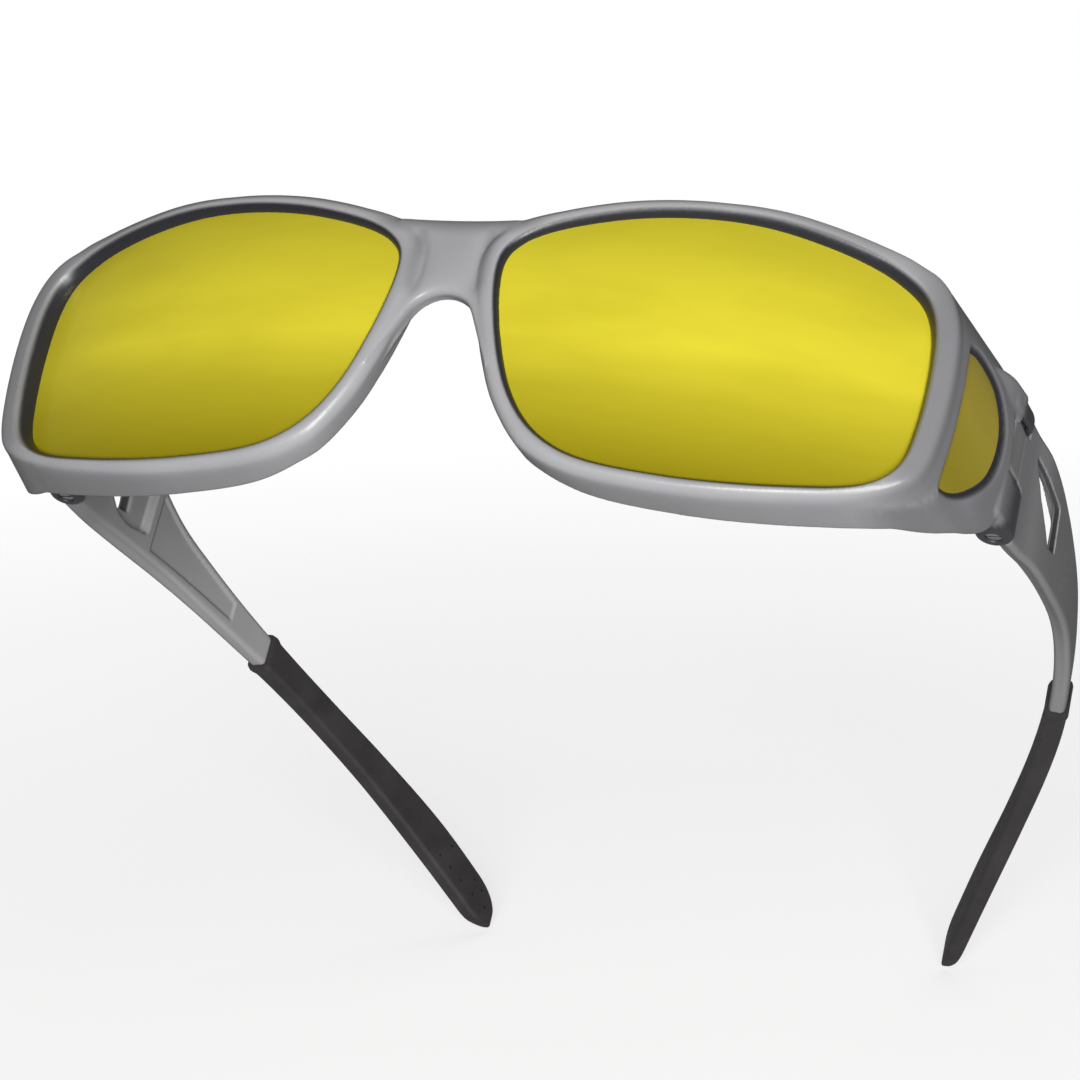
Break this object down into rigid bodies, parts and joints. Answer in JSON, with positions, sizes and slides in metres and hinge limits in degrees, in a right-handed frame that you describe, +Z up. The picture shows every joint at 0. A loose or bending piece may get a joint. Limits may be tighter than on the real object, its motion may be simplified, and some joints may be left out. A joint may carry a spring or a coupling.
{
  "type": "fit-over night driving glasses",
  "caption": "Wraparound fit-over glasses: moulded front with two yellow mirrored lenses and two side windows, hinged temples with openings and soft sleeves.",
  "frame": {"origin": "middle of the base of the open glasses' bounding box, on the surface that they stand on", "axes": "+X across the face towards the right-hand side of a front view, +Y from the front towards the ears, +Z up"},
  "size_m": [0.1624, 0.1766, 0.0483],
  "materials": {
    "frame_plastic": "satin translucent grey moulding",
    "lens_tint": "yellow mirror coating",
    "steel": "plain",
    "sleeve_rubber": "matt black"
  },
  "bodies": {
    "front": {"front_frame": "frame_plastic", "lens_right": "lens_tint", "lens_left": "lens_tint", "side_lens_right": "lens_tint", "side_lens_left": "lens_tint", "front_leaf_right": "steel", "front_leaf_left": "steel", "hinge_screw_right": "steel", "hinge_screw_left": "steel"},
    "temple_right": {"temple_right": "frame_plastic", "temple_leaf_right": "steel", "sleeve_right": "sleeve_rubber"},
    "temple_left": {"temple_left": "frame_plastic", "temple_leaf_left": "steel", "sleeve_left": "sleeve_rubber"}
  },
  "joints": [
    {"name": "hinge_right", "type": "hinge", "parent": "front", "child": "temple_right", "pos_m": [0.07781, -0.04468, 0.0265], "axis": [0, 0, 1], "range_deg": [0, 82]},
    {"name": "hinge_left", "type": "hinge", "parent": "front", "child": "temple_left", "pos_m": [-0.07781, -0.04468, 0.0265], "axis": [0, 0, -1], "range_deg": [0, 75]}
  ]
}
